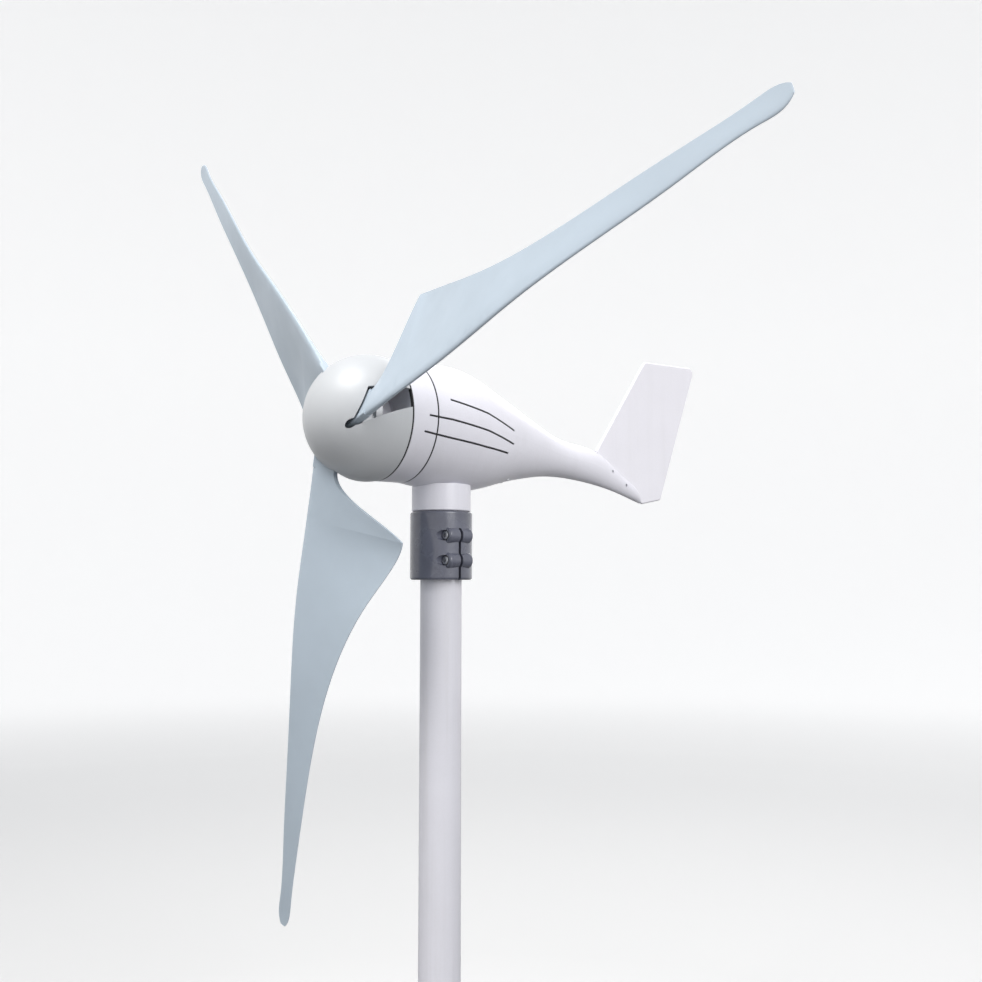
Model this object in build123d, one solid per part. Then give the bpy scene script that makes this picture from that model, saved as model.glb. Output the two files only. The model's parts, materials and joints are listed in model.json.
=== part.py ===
from build123d import *
import os
from functools import lru_cache
from math import atan2, cos, degrees, hypot, pi, radians, sin, sqrt, tan

# Small upwind wind turbine with three blades, a free-yawing nacelle with a fixed tail fin,
# and the tubular mast that it stands on. Millimetres. The origin is the centre of the
# mast's foot, +Z is up, -Y is the nose and +Y is the tail.

# ---------------------------------------------------------------- driving dimensions
hub_height = 1000.0  # mast foot to shaft axis
rotor_radius = 600.0
rotor_plane = -119.5  # the blades' twist axis, ahead of the mast axis
blade_count = 3
first_blade_angle = 15.75  # from +X, counter-clockwise as seen from the nose

running_gap = 0.05  # radial gap of shafts and lips that turn
slip_gap = 0.15  # gap of a piece that slides into another
body_gap = 0.5  # gap between two bodies that face each other

# Mast and clamp collar
mast_outer = 24.15  # radius of 1 1/2 inch pipe, 48.3 mm outside
mast_wall = 3.2
collar_wall = 12.15
collar_height = 79.0
collar_drop = 101.0  # shaft axis to the collar's top
collar_lid = 12.0  # thickness of the closed top of the collar
collar_slit = 3.5
collar_edge = 3.0
clamp_bolt_radius = 3.0
clamp_head_radius = 5.0
clamp_head_height = 6.0
clamp_nut_height = 5.0
clamp_boss_radius = 9.0
clamp_boss_reach = 17.0
clamp_seat = 12.0  # half of the clamped length between head and nut
clamp_pocket_gap = 1.0
clamp_socket = 2.6
clamp_clear = 7.35  # mast's outside to the bolts' axes
clamp_levels = (0.36, 0.72)  # shares of the collar's height, from its top

# Yaw spindle and its fittings
spindle_radius = 12.5
spindle_flange_inset = 0.65  # inside the mast's outer edge
spindle_flange = 8.0
spindle_top_radius = 10.0
spindle_bore = 7.0
flange_screw_radius = 2.5
flange_screw_circle = 16.0
flange_head_radius = 3.75
flange_head_height = 4.0
flange_socket = 2.0
flange_screw_count = 4
flange_screw_start = 45.0
yaw_bearing = (spindle_radius, 23.5, 12.0, 10)  # bore radius, outer radius, width, balls
spacer_wall = 3.0
yaw_bearing_rise = 2.5  # collar top to the lower bearing
yaw_bearing_spacing = 12.5  # between the two yaw bearings
yaw_washer = 1.5
yaw_nut_radius = 17.0
yaw_nut_height = 6.0
yaw_nut_slot = 5.0
felt_inner = 27.0
felt_outer = 31.0
felt_sunk = 1.5
felt_clear = 0.3
slip_sleeve_radius = 14.0
slip_sleeve_height = 24.0
slip_ring_radius = 16.0
slip_ring_width = 5.0
slip_ring_pitch = 7.5
slip_ring_count = 3

# Nacelle
neck_radius = 34.5
bearing_boss_radius = 30.0
body_wall = 5.0
cover_radius = 69.5
cover_front = -88.0
cover_joint = -55.0  # joint between the front cover and the housing
cover_wall = 5.0
cover_boss_wall = 6.0
cover_edge = 1.2  # chamfers beside the cover's two joints
neck_edge = 1.0
gasket = 1.0
gasket_inset = 0.4
bulkhead_front = -23.0
bulkhead = 5.0
rear_boss_wall = 4.5
rear_boss_lip = 3.0
stator_shoulder = 3.0
bearing_lip = 2.5
boss_rise = 4.0  # above the upper yaw bearing
circlip_depth = 1.2
circlip_width = 1.2
circlip_reach = 2.0
cover_screw_count = 6
cover_screw_start = 30.0
cover_screw_inset = 4.6  # cover's outside to the screws' axes
cover_screw_thread = 1.7  # radius of the tapped part
cover_screw_grip = 9.0  # beyond the gasket
cover_hole_spare = 3.0
boom_joint = 95.0
spigot_length = 12.0
spigot_wall = 3.0
spigot_root = 8.0
boom_hollow_end = 225.0
boom_screw_sides = (-14.0, 0.0, 14.0)
boom_seat_depth = 2.6  # underside to the heads' seats
boom_screw_length = 7.5
boom_head_height = 2.2
small_screw_radius = 2.0
small_head_radius = 3.5
small_head_height = 4.0
small_socket = 1.7
small_pocket_gap = 0.4  # over a sunk head
groove_width = 2.2
groove_depth = 2.2
# Distance behind the mast axis, then top and bottom above the shaft axis and half width,
# each one as its excess over the cover's radius where the body is round
body_stations = (
    (cover_joint + gasket, cover_radius, -cover_radius, cover_radius),
    (-30.0, cover_radius + 1.5, -cover_radius - 3.5, cover_radius + 0.7),
    (-5.0, cover_radius + 1.5, -cover_radius - 6.0, cover_radius + 0.1),
    (22.0, cover_radius - 3.5, -cover_radius - 6.0, cover_radius - 3.5),
    (50.0, cover_radius - 14.0, -cover_radius - 2.0, cover_radius - 10.5),
    (80.0, 43.0, -63.5, 49.0),
    (117.0, 27.0, -55.0, 37.0),
    (151.0, 12.5, -49.5, 28.0),
    (187.0, 0.5, -48.0, 21.5),
    (225.0, -4.5, -50.5, 17.5),
    (258.0, -13.0, -55.0, 13.5),
    (300.0, -37.0, -64.0, 8.5),
    (337.0, -64.0, -74.5, 4.0),
)
hollow_stations = 11  # stations that leave room for a hollow
# Side grooves: distance behind the mast axis and height above the shaft axis
groove_paths = (
    ((-36.0, 19.5), (18.0, 10.0), (67.0, -4.0)),
    ((-66.0, -1.0), (-36.0, -3.0), (18.0, -10.0), (67.0, -20.0)),
    ((-71.0, -19.0), (-32.0, -23.5), (18.0, -28.5), (58.0, -31.5)),
)

# Tail fin
fin_thickness = 5.0
fin_outline = (
    (254.0, -8.0),
    (349.0, 124.0),
    (456.0, 128.0),
    (379.0, -68.0),
    (343.0, -75.0),
    (264.0, -45.0),
)
fin_corner = 9.0
fin_edge = 1.6
rivet_radius = 2.0
rivet_places = ((276.0, -35.0), (304.0, -52.0))
rivet_reach = (8.6, 6.0)
rivet_hole_reach = 20.0

# Alternator
stator_outer = 60.0
stator_bore = 35.0
stator_front = -64.0
stack_length = 32.0
slot_count = 18
slot_floor = 50.0
tooth_width = 6.5
tooth_tip = 3.5
slot_mouth = 2.5
coil_side = 2.8
coil_overhang = 7.0
coil_fit = 0.2
coil_tip_gap = 0.6
coil_floor_gap = 1.4
air_gap = 0.7
magnet_thickness = 4.0
magnet_count = 12
magnet_space = 4.0  # degrees between two magnets
core_hole_radius = 4.0
core_hole_circle = 21.0
core_hole_count = 6

# Rotor shaft, stations along Y
shaft_nose = -150.0
hub_seat_front = -134.0
shaft_thread_radius = 7.0
shaft_radius = 8.5
shaft_middle_radius = 11.0
front_bearing_front = -104.0
front_bearing = (shaft_radius, 20.0, 12.0, 8)
rear_bearing = (shaft_radius, 17.5, 10.0, 9)
rear_bearing_front = -22.0
shaft_end = -11.0
shaft_nose_edge = 1.0
seal_lip = 4.0
seal_radius = 17.0
seal_clear = 0.4
shaft_clip_depth = 3.0
shaft_clip_width = 1.5
clip_mouth = 3.0  # half of the gap in a circlip
hub_key = (5.0, 5.0, 20.0)  # width, height, length
core_key = (5.0, 5.0, 24.0)

# Hub, blade roots and spinner
hub_disc_radius = 54.0
hub_disc_front = -126.0
hub_disc = 8.0
hub_boss_radius = 13.0
hub_nose_wall = 3.0
hub_nut_flats = 22.0
hub_nut_height = 11.0
hub_washer = 2.0
hub_washer_radius = 15.0
root_pitch = 23.5  # degrees between the root and the rotor plane
root_lead = -27.0  # leading edge, across the blade's radial line
root_width = 31.0  # across the radial line
root_axis_rise = 27.0  # leading edge ahead of the rotor plane
root_thickness = 9.0
root_inner = 22.0
root_outer = 62.0
pad_outer = 46.0
root_pad_margin = 0.4
clamp_plate = 2.5
clamp_plate_outer = 42.0
clamp_plate_width = 25.0
root_bolt_radius = 3.0
root_bolt_head = 4.5
root_bolt_head_height = 3.2
root_bolt_length = 23.0
root_bolt_socket = 2.4
root_edge = 2.0
root_bolts = ((28.0, 0.0), (36.0, 7.5), (36.0, -7.5))  # radius, offset along the chord
spinner_swell = 1.5  # the dome's radius beyond the cover's
spinner_wall = 2.5
spinner_gap = 1.5  # behind its rim
spinner_boss_radius = 5.0
spinner_boss_circle = 46.0
spinner_boss_angle = 47.0  # from the blade's radial line
spinner_boss_depth = 18.0
spinner_screw_radius = 2.0
spinner_head_height = 3.0
spinner_slot_room = 4.0

# Blade: radius, leading edge and trailing edge across the radial line, each one's distance
# behind the rotor plane, thickness, trailing edge thickness
root_stations = (
    (58.0, -27.0, 1.5, -27.0, -14.6, 9.0, 7.5),
    (75.0, -27.0, 5.0, -27.0, -13.0, 9.4, 7.0),
    (100.0, -27.0, 46.0, -27.0, 4.0, 11.0, 4.6),
    (122.0, -27.0, 93.0, -27.0, 24.0, 12.0, 2.6),
)
# Beyond the shoulder the first number is a share of the way to the tip
shoulder_radius = 122.0
outer_stations = (
    (0.0, -27.0, 93.0, -27.0, 24.0, 12.0, 2.6),
    (0.06, -27.0, 84.5, -27.0, 22.0, 11.6, 1.8),
    (0.16, -26.5, 64.5, -27.0, 8.5, 10.2, 1.6),
    (0.27, -23.5, 46.0, -26.0, -1.0, 8.6, 1.5),
    (0.38, -19.0, 33.5, -23.5, -5.5, 7.0, 1.4),
    (0.58, -14.5, 22.0, -16.0, -7.0, 5.0, 1.2),
    (0.78, -11.5, 16.0, -8.0, -4.0, 3.8, 1.0),
    (0.94, -10.0, 12.0, -2.0, 0.0, 3.0, 0.9),
    (0.985, -9.0, 9.5, -0.5, 0.8, 2.6, 0.8),
    (1.0, -4.0, 5.0, 0.0, 0.6, 1.9, 0.7),
)
blade_camber = 0.035
section_steps = 7

# ---------------------------------------------------------------- derived places
mast_inner = mast_outer - mast_wall
collar_outer = mast_outer + collar_wall
clamp_axis = mast_outer + clamp_clear
spindle_flange_radius = mast_outer - spindle_flange_inset
cover_screw_circle = cover_radius - cover_screw_inset
cover_pocket = small_head_height + small_pocket_gap
spinner_radius = cover_radius + spinner_swell
collar_top = hub_height - collar_drop
collar_bottom = collar_top - collar_height
lid_bottom = collar_top - collar_lid
mast_top = lid_bottom - spindle_flange
lower_yaw_bearing = collar_top + yaw_bearing_rise
upper_yaw_bearing = lower_yaw_bearing + yaw_bearing[2] + yaw_bearing_spacing
yaw_stack_top = upper_yaw_bearing + yaw_bearing[2]
yaw_nut_bottom = yaw_stack_top + yaw_washer
yaw_nut_top = yaw_nut_bottom + yaw_nut_height
sleeve_bottom = yaw_nut_top + body_gap
sleeve_top = sleeve_bottom + slip_sleeve_height
spindle_top = sleeve_top + 1.0
boss_top = yaw_stack_top + boss_rise
stator_back = stator_front + stack_length
front_bearing_back = front_bearing_front + front_bearing[2]
rear_bearing_back = rear_bearing_front + rear_bearing[2]
rear_boss_back = rear_bearing_back + rear_boss_lip
hub_disc_back = hub_disc_front + hub_disc
magnet_radius = stator_bore - air_gap
core_radius = magnet_radius - magnet_thickness
spinner_rim = cover_front - spinner_gap
spinner_centre = spinner_rim - sqrt(spinner_radius**2 - cover_radius**2)
blade_angles = [first_blade_angle + 360.0 * k / blade_count for k in range(blade_count)]
pad_side = root_lead + root_width / 2
pad_rise = root_axis_rise - root_width / 2 * tan(radians(root_pitch))
pad_half_chord = root_width / 2 / cos(radians(root_pitch))

shaft_line = Plane(origin=(0, 0, hub_height), x_dir=(1, 0, 0), z_dir=(0, 1, 0))
far = 4 * cover_radius


# ---------------------------------------------------------------- helpers
def mast_ring(outer, inner, bottom, top):
    """Round bar or tube on the mast axis."""
    profile = Circle(outer) - Circle(inner) if inner else Circle(outer)
    return Pos(0, 0, bottom) * extrude(profile, top - bottom)


def shaft_ring(outer, inner, front, back):
    """Round bar or tube on the shaft axis."""
    profile = Circle(outer) - Circle(inner) if inner else Circle(outer)
    return shaft_line.location * Pos(0, 0, front) * extrude(profile, back - front)


def blade_frame(angle):
    """X along the blade, Y across it towards its trailing edge, Z upwind."""
    direction = (cos(radians(angle)), 0, sin(radians(angle)))
    return Plane(origin=(0, rotor_plane, hub_height), x_dir=direction, z_dir=(0, -1, 0)).location


def root_frame():
    """In the blade's frame: the middle of the pitched root, Z square to its front face."""
    pitch = radians(root_pitch)
    return Plane(
        origin=(0, pad_side, pad_rise), x_dir=(1, 0, 0), z_dir=(0, sin(pitch), cos(pitch))
    ).location


def slab(x_low, x_high, y_low, y_high, z_low, z_high):
    """Box between six coordinates."""
    centre = ((x_low + x_high) / 2, (y_low + y_high) / 2, (z_low + z_high) / 2)
    return Pos(*centre) * Box(x_high - x_low, y_high - y_low, z_high - z_low)


def socket_screw(shank_radius, length, head_radius, head_height, socket_radius):
    """Screw along Z with its head above z = 0 and its shank below."""
    shank = Pos(0, 0, -length) * extrude(Circle(shank_radius), length)
    head = extrude(Circle(head_radius), head_height)
    head = chamfer(head.edges().sort_by(Axis.Z)[-1], head_height / 10)
    socket = extrude(RegularPolygon(socket_radius, 6), head_height)
    return shank + head - Pos(0, 0, head_height / 2) * socket


def hex_nut(bore, across_flats, height):
    """Nut along Z from z = 0 up."""
    blank = extrude(RegularPolygon(across_flats / 2, 6, major_radius=False), height)
    return blank - extrude(Circle(bore), height)


def together(pieces):
    return Compound(children=list(pieces))


def section_across(angle):
    """Frame whose Z points out of a round part at an angle from +X."""
    return Rot(0, 0, angle)


# ---------------------------------------------------------------- bearings
def bearing(sizes):
    """Ball bearing on Z from z = 0: inner race, outer race, balls and cage."""
    bore, outer, width, balls = sizes
    pitch = (bore + outer) / 2
    ball = 0.29 * (outer - bore)
    land = 0.55 * ball
    middle = Pos(0, 0, width / 2)
    groove = middle * Torus(pitch, ball + running_gap)
    inner_race = extrude(Circle(pitch - land) - Circle(bore), width) - groove
    outer_race = extrude(Circle(outer) - Circle(pitch + land), width) - groove
    places = [middle * place for place in PolarLocations(pitch, balls)]
    cage = Circle(pitch + 0.35 * ball) - Circle(pitch - 0.35 * ball)
    cage = middle * Pos(0, 0, -1.25 * ball) * extrude(cage, 2.5 * ball)
    window = Rot(0, 90, 0) * extrude(Circle(ball + 2 * running_gap), ball, both=True)
    for place in places:
        cage -= place * window
    return inner_race, outer_race, [place * Sphere(ball) for place in places], cage


def bearing_nodes(names, sizes, places):
    """Four nodes: inner races, outer races, balls and cages of bearings that turn together."""
    inner_race, outer_race, balls, cage = bearing(sizes)
    for name, pieces in zip(names, ([inner_race], [outer_race], balls, [cage])):
        write(name, together(place * piece for place in places for piece in pieces))


# ---------------------------------------------------------------- mast and collar
def mast_tube():
    return mast_ring(mast_outer, mast_inner, 0, mast_top)


def clamp_places():
    """Frames of the clamp bolts: Z along the bolt towards its head, at -Y."""
    levels = [collar_top - share * collar_height for share in clamp_levels]
    return [Pos(clamp_axis, 0, level) * Rot(90, 0, 0) for level in levels]


def clamp_collar():
    """Split sleeve with a closed lid, two bolt bosses and their pockets."""
    body = mast_ring(collar_outer, 0, collar_bottom, collar_top)
    body = fillet(body.edges().filter_by(GeomType.CIRCLE), collar_edge)
    boss = extrude(Circle(clamp_boss_radius), clamp_boss_reach, both=True)
    boss = fillet(boss.edges().filter_by(GeomType.CIRCLE), collar_edge)
    for place in clamp_places():
        body += place * boss
    body -= mast_ring(mast_outer + slip_gap, 0, collar_bottom, mast_top)
    body -= mast_ring(spindle_flange_radius + slip_gap, 0, mast_top, lid_bottom)
    body -= mast_ring(spindle_radius, 0, lid_bottom, collar_top)
    slit = slab(0, far, -collar_slit / 2, collar_slit / 2, collar_bottom, mast_top)
    body -= slit
    hole = extrude(Circle(clamp_bolt_radius + slip_gap), clamp_boss_reach, both=True)
    pocket = Pos(0, 0, clamp_seat) * extrude(Circle(clamp_head_radius + clamp_pocket_gap), collar_outer)
    for place in clamp_places():
        body -= place * hole
        body -= place * pocket
        body -= place * Rot(180, 0, 0) * pocket
    for place in flange_screw_places():
        hole = extrude(Circle(flange_screw_radius), collar_lid - 2)
        body -= Pos(0, 0, lid_bottom) * place * hole
    return body - mast_ring(felt_outer, felt_inner, collar_top - felt_sunk, collar_top)


def dust_seal():
    """Felt ring in the collar's top, just under the turning neck."""
    return mast_ring(felt_outer, felt_inner, collar_top - felt_sunk, collar_top + body_gap - felt_clear)


def clamp_bolts():
    screw = socket_screw(
        clamp_bolt_radius, 2 * clamp_seat + clamp_nut_height, clamp_head_radius, clamp_head_height, clamp_socket
    )
    return together(place * Pos(0, 0, clamp_seat) * screw for place in clamp_places())


def clamp_nuts():
    nut = hex_nut(clamp_bolt_radius, 2 * clamp_head_radius, clamp_nut_height)
    return together(place * Pos(0, 0, -clamp_seat - clamp_nut_height) * nut for place in clamp_places())


# ---------------------------------------------------------------- yaw spindle
def flange_screw_places():
    return list(PolarLocations(flange_screw_circle, flange_screw_count, flange_screw_start))


def yaw_spindle():
    """Hollow post with a flange under the collar's lid."""
    spindle = mast_ring(spindle_flange_radius, 0, mast_top, lid_bottom)
    spindle += mast_ring(spindle_radius, 0, lid_bottom, yaw_nut_top)
    spindle += mast_ring(spindle_top_radius, 0, yaw_nut_top, spindle_top)
    spindle -= mast_ring(spindle_bore, 0, mast_top, spindle_top)
    hole = extrude(Circle(flange_screw_radius + slip_gap), spindle_flange)
    hole += extrude(Circle(flange_head_radius + slip_gap), flange_head_height)
    for place in flange_screw_places():
        spindle -= Pos(0, 0, mast_top) * place * hole
    return spindle


def spindle_screws():
    length = spindle_flange - flange_head_height + collar_lid - 3
    screw = socket_screw(flange_screw_radius, length, flange_head_radius, flange_head_height, flange_socket)
    seat = Pos(0, 0, mast_top + flange_head_height)
    return together(seat * place * Rot(180, 0, 0) * screw for place in flange_screw_places())


def bearing_spacer():
    bottom = lower_yaw_bearing + yaw_bearing[2]
    return mast_ring(spindle_radius + spacer_wall, spindle_radius, bottom, upper_yaw_bearing)


def seat_sleeve():
    """Short spacer between the collar's lid and the lower inner race."""
    return mast_ring(spindle_radius + spacer_wall, spindle_radius, collar_top, lower_yaw_bearing)


def yaw_tab_washer():
    return mast_ring(spindle_radius + spacer_wall, spindle_radius, yaw_stack_top, yaw_nut_bottom)


def yaw_nut():
    """Round nut with four spanner slots."""
    nut = mast_ring(yaw_nut_radius, spindle_radius, yaw_nut_bottom, yaw_nut_top)
    half = yaw_nut_slot / 2
    slot = slab(yaw_nut_radius - half, yaw_nut_radius + half, -half, half, yaw_nut_bottom, yaw_nut_top)
    for k in range(4):
        nut -= section_across(45 + 90 * k) * slot
    return nut


def slip_ring_bottoms():
    height = (slip_ring_count - 1) * slip_ring_pitch + slip_ring_width
    first = sleeve_bottom + (slip_sleeve_height - height) / 2
    return [first + k * slip_ring_pitch for k in range(slip_ring_count)]


def slip_ring_sleeve():
    return mast_ring(slip_sleeve_radius, spindle_top_radius, sleeve_bottom, sleeve_top)


def slip_rings():
    return together(
        mast_ring(slip_ring_radius, slip_sleeve_radius, low, low + slip_ring_width)
        for low in slip_ring_bottoms()
    )


# ---------------------------------------------------------------- nacelle shell
def body_section(y, top, bottom, half_width, inset):
    """Closed oval across the body, starting at +X."""
    middle = hub_height + (top + bottom) / 2
    half_height = (top - bottom) / 2 - inset
    points = []
    for k in range(16):
        turn = 2 * pi * k / 16
        points.append((half_width * cos(turn) - inset * cos(turn), y, middle + half_height * sin(turn)))
    return Face(Wire(Spline(*points, periodic=True)))


@lru_cache
def body_form(inset):
    """Smooth solid through the body's stations; a drawn-in one stops at its last room."""
    stations = body_stations[:hollow_stations] if inset else body_stations
    return Solid.make_loft([body_section(*row, inset).outer_wire() for row in stations])


def between(front, back):
    """All the space between two stations along Y."""
    return slab(-far, far, front, back, 0, 2 * hub_height)


def grooves():
    """Strips along the side grooves, as deep as the grooves are."""
    cutter = None
    for path in groove_paths:
        strip = None
        for (y0, z0), (y1, z1) in zip(path, path[1:]):
            length = hypot(y1 - y0, z1 - z0)
            lean = degrees(atan2(z1 - z0, y1 - y0))
            run = Box(far, length + groove_width, groove_width)
            run = Pos(0, (y0 + y1) / 2, hub_height + (z0 + z1) / 2) * Rot(lean, 0, 0) * run
            strip = run if strip is None else strip + run
        cutter = strip if cutter is None else cutter + strip
    return cutter


def neck():
    stub = mast_ring(neck_radius, 0, collar_top + body_gap, hub_height)
    return chamfer(stub.edges().sort_by(Axis.Z)[0], neck_edge)


def cover_screw_places(front):
    """Frames round the shaft axis at one station, Z towards the tail."""
    ring = PolarLocations(cover_screw_circle, cover_screw_count, cover_screw_start)
    return [shaft_line.location * Pos(0, 0, front) * place for place in ring]


def nacelle_housing():
    """Aluminium shell with its neck, rear bulkhead, stator seat and yaw bearing boss."""
    outer = body_form(0) & between(cover_joint + gasket, boom_joint)
    cavity = body_form(body_wall) & between(bulkhead_front + bulkhead, boom_joint)
    shell = outer - cavity
    belly = hub_height - cover_radius
    shell += neck() & (mast_ring(far, 0, 0, belly) + outer) - cavity
    shell += mast_ring(bearing_boss_radius, 0, lower_yaw_bearing + yaw_bearing[2], boss_top)
    shell += shaft_ring(rear_bearing[1] + rear_boss_wall, 0, bulkhead_front, rear_boss_back)
    shell -= shaft_ring(stator_outer, 0, cover_joint, stator_back)
    shell -= shaft_ring(stator_outer - stator_shoulder, 0, stator_back, bulkhead_front)
    shell -= shaft_ring(rear_bearing[1], 0, bulkhead_front, rear_bearing_back)
    shell -= shaft_ring(shaft_middle_radius + body_gap, 0, rear_bearing_back, rear_boss_back)
    for low in (lower_yaw_bearing, upper_yaw_bearing):
        shell -= mast_ring(yaw_bearing[1], 0, low, low + yaw_bearing[2])
    shell -= mast_ring(yaw_bearing[1], 0, collar_top, lower_yaw_bearing)
    shell -= mast_ring(yaw_bearing[1] - bearing_lip, 0, lower_yaw_bearing, upper_yaw_bearing)
    shell -= mast_ring(yaw_bearing[1], 0, yaw_stack_top, boss_top)
    shell -= grooves() - body_form(groove_depth)
    tapped = extrude(Circle(cover_screw_thread), gasket + cover_screw_grip + cover_hole_spare)
    for place in cover_screw_places(cover_joint):
        shell -= place * tapped
    for place in boom_screw_places():
        shell -= place * extrude(Circle(small_screw_radius + slip_gap), spigot_length)
        shell -= place * Pos(0, 0, -spigot_length) * extrude(Circle(small_head_radius + slip_gap), spigot_length)
    for hole in lead_holes():
        shell -= hole
    shell -= clip_ring(0)
    for x in brush_screw_sides:
        shell -= Pos(x, brush_foot_middle, boss_top - brush_screw_grip) * extrude(
            Circle(brush_screw_radius), brush_screw_grip
        )
    return shell


def clip_ring(inward):
    """Ring in the neck's groove under the lower yaw bearing, reaching inward from the bore."""
    bottom = lower_yaw_bearing - circlip_width
    return mast_ring(yaw_bearing[1] + circlip_depth, yaw_bearing[1] - inward, bottom, lower_yaw_bearing)


def yaw_circlip():
    """Internal ring that keeps the lower yaw bearing in the neck."""
    return clip_ring(circlip_reach) - slab(-clip_mouth, clip_mouth, 0, far, 0, hub_height)


def front_cover():
    """Round end cover with the front bearing's boss."""
    cover = shaft_ring(cover_radius, 0, cover_front, cover_joint)
    cover = chamfer(cover.edges().filter_by(GeomType.CIRCLE), cover_edge)
    cover -= shaft_ring(stator_outer + body_gap, 0, cover_front + cover_wall, cover_joint)
    boss_front = front_bearing_front - seal_lip
    cover += shaft_ring(front_bearing[1] + cover_boss_wall, 0, boss_front, cover_front + cover_wall)
    cover -= shaft_ring(seal_radius, 0, boss_front, front_bearing_front)
    cover -= shaft_ring(front_bearing[1], 0, front_bearing_front, cover_front + cover_wall)
    hole = extrude(Circle(small_screw_radius + slip_gap), cover_joint - cover_front)
    hole += extrude(Circle(small_head_radius + slip_gap), cover_pocket)
    for place in cover_screw_places(cover_front):
        cover -= place * hole
    inside = shaft_ring(cover_radius - groove_depth, 0, cover_front, cover_joint)
    return cover - (grooves() - inside)


def cover_gasket():
    outer = cover_radius - gasket_inset
    ring = shaft_ring(outer, stator_outer + body_gap, cover_joint, cover_joint + gasket)
    for place in cover_screw_places(cover_joint):
        ring -= place * extrude(Circle(small_screw_radius), gasket)
    return ring


def cover_screws():
    thread_start = cover_joint + gasket - cover_front
    length = thread_start - cover_pocket + cover_screw_grip
    screw = Rot(180, 0, 0) * socket_screw(
        small_screw_radius, length, small_head_radius, small_head_height, small_socket
    )
    turned = Circle(small_head_radius) - Circle(cover_screw_thread)
    screw = Pos(0, 0, cover_pocket) * screw - Pos(0, 0, thread_start) * extrude(turned, length)
    return together(place * screw for place in cover_screw_places(cover_front))


# ---------------------------------------------------------------- tail
def body_underside(y, x):
    """Height of the body's underside, straight between stations and elliptic across."""
    for ahead, behind in zip(body_stations, body_stations[1:]):
        if ahead[0] <= y <= behind[0]:
            share = (y - ahead[0]) / (behind[0] - ahead[0])
            top, bottom, half = [a + share * (b - a) for a, b in zip(ahead[1:], behind[1:])]
    return hub_height + (top + bottom) / 2 - (top - bottom) / 2 * sqrt(1 - (x / half) ** 2)


def boom_screw_places():
    """Frames of the screws up through the spigot, at their heads' seats."""
    y = boom_joint - spigot_length / 2
    return [Pos(x, y, body_underside(y, x) + boom_seat_depth) for x in boom_screw_sides]


def boom_screws():
    screw = Rot(180, 0, 0) * socket_screw(
        small_screw_radius, boom_screw_length, small_head_radius, boom_head_height, small_socket
    )
    return together(place * screw for place in boom_screw_places())


def tail_boom():
    """Tapered boom with a spigot into the housing and a slot for the fin."""
    inner_end = boom_joint + spigot_root
    boom = body_form(0) & between(boom_joint, 2 * far)
    boom += body_form(body_wall + slip_gap) & between(boom_joint - spigot_length, inner_end)
    boom -= body_form(body_wall) & between(inner_end, boom_hollow_end)
    boom -= body_form(body_wall + slip_gap + spigot_wall) & between(0, inner_end)
    for place in boom_screw_places():
        boom -= place * extrude(Circle(small_screw_radius), spigot_length)
    boom -= fin_form(fin_thickness / 2 + slip_gap / 2, slip_gap)
    for y, z in rivet_places:
        boom -= rivet(y, z, rivet_hole_reach)
    return boom


def fin_form(half_thickness, grow):
    """Flat fin with rounded corners; grow widens its outline for the boom's slot."""
    flat = Polygon(*fin_outline, align=None)
    corners = flat.vertices().sort_by(Axis.X)[3:]
    flat = fillet(corners, fin_corner)
    if grow:
        flat = offset(flat, grow)
    upright = Plane(origin=(0, 0, hub_height), x_dir=(0, 1, 0), z_dir=(1, 0, 0))
    return upright.location * extrude(flat, half_thickness, both=True)


def tail_fin():
    fin = fin_form(fin_thickness / 2, 0)
    above = fin.edges().filter_by(lambda edge: edge.center().Z > hub_height + 2)
    rims = above.filter_by(lambda edge: abs(abs(edge.center().X) - fin_thickness / 2) < 0.01)
    fin = chamfer(rims, fin_edge)
    for y, z in rivet_places:
        fin -= rivet(y, z, rivet_hole_reach)
    return fin


def rivet(y, z, reach):
    """Pin across the fin, as long on both sides."""
    return Pos(0, y, hub_height + z) * Rot(0, 90, 0) * extrude(Circle(rivet_radius), reach, both=True)


def fin_rivets():
    return together(rivet(y, z, reach) for (y, z), reach in zip(rivet_places, rivet_reach))


# ---------------------------------------------------------------- alternator
def slot_cutter():
    """One slot between two teeth, as a flat outline around +X."""
    half_step = pi / slot_count
    tip = stator_bore + tooth_tip
    tooth = tooth_width / 2
    low = tip * sin(half_step) - tooth
    high = slot_floor * sin(half_step) - tooth
    side_low, side_high = tip * cos(half_step), slot_floor * cos(half_step)
    slot = Polygon(
        (side_low, -low), (side_high, -high), (side_high, high), (side_low, low), align=None
    )
    mouth = Pos((stator_bore + side_low) / 2, 0) * Rectangle(side_low - stator_bore + 4, slot_mouth)
    return slot + mouth


def stator_core():
    """Laminated ring with teeth towards the shaft."""
    flat = Circle(stator_outer) - Circle(stator_bore)
    slot = slot_cutter()
    for k in range(slot_count):
        flat -= Rot(0, 0, 360 * k / slot_count) * slot
    return shaft_line.location * Pos(0, 0, stator_front) * extrude(flat, stack_length)


def stator_windings():
    """One copper coil round each tooth."""
    inner, outer = stator_bore + tooth_tip + coil_tip_gap, slot_floor - coil_floor_gap
    radial = outer - inner
    width = tooth_width + 2 * coil_fit
    coil = Box(radial, width + 2 * coil_side, stack_length + 2 * coil_overhang)
    coil = fillet(coil.edges().filter_by(Axis.X), coil_side)
    coil -= Box(radial, width, stack_length + 2 * coil_fit)
    middle = Pos(0, 0, stator_front + stack_length / 2)
    coils = []
    for k in range(slot_count):
        turn = Rot(0, 0, 360 * (k + 0.5) / slot_count)
        coils.append(shaft_line.location * middle * turn * Pos((inner + outer) / 2, 0, 0) * coil)
    return together(coils)


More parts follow.
